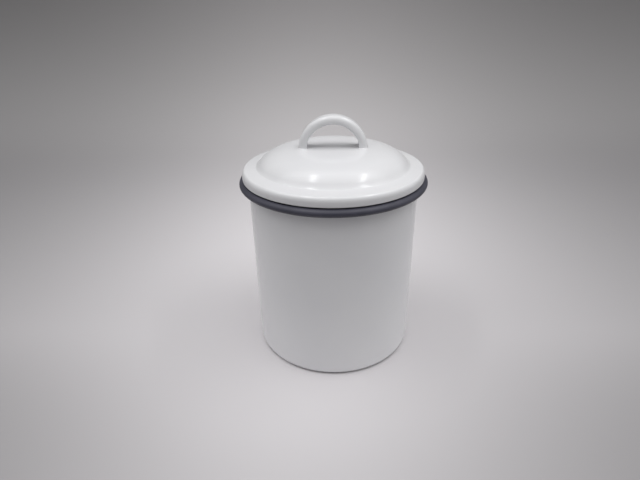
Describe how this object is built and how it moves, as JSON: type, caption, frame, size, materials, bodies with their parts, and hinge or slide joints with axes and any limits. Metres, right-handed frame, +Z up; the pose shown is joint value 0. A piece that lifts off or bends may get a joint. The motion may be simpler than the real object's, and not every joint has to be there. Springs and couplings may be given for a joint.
{
  "type": "enamel canister",
  "caption": "Round enamelled steel kitchen canister with a dark rolled rim and a lift-off domed lid with a strap loop handle.",
  "frame": {"origin": "middle of the foot, on the surface that the canister stands on", "axes": "+Z up along the canister's axis; the lid's handle arches along X"},
  "size_m": [0.1128, 0.1128, 0.1485],
  "materials": {
    "white_enamel": "glossy white vitreous enamel on sheet steel",
    "slate_enamel": "glossy dark slate grey vitreous enamel on sheet steel"
  },
  "bodies": {
    "canister": {"canister_body": "white_enamel", "rim_bead": "slate_enamel"},
    "lid": {"lid_shell": "white_enamel", "lid_skirt": "white_enamel", "lid_handle": "white_enamel"}
  },
  "joints": [
    {"name": "lid_lift", "type": "slide", "parent": "canister", "child": "lid", "axis": [0, 0, 1], "range_m": [0, 0.12]}
  ]
}
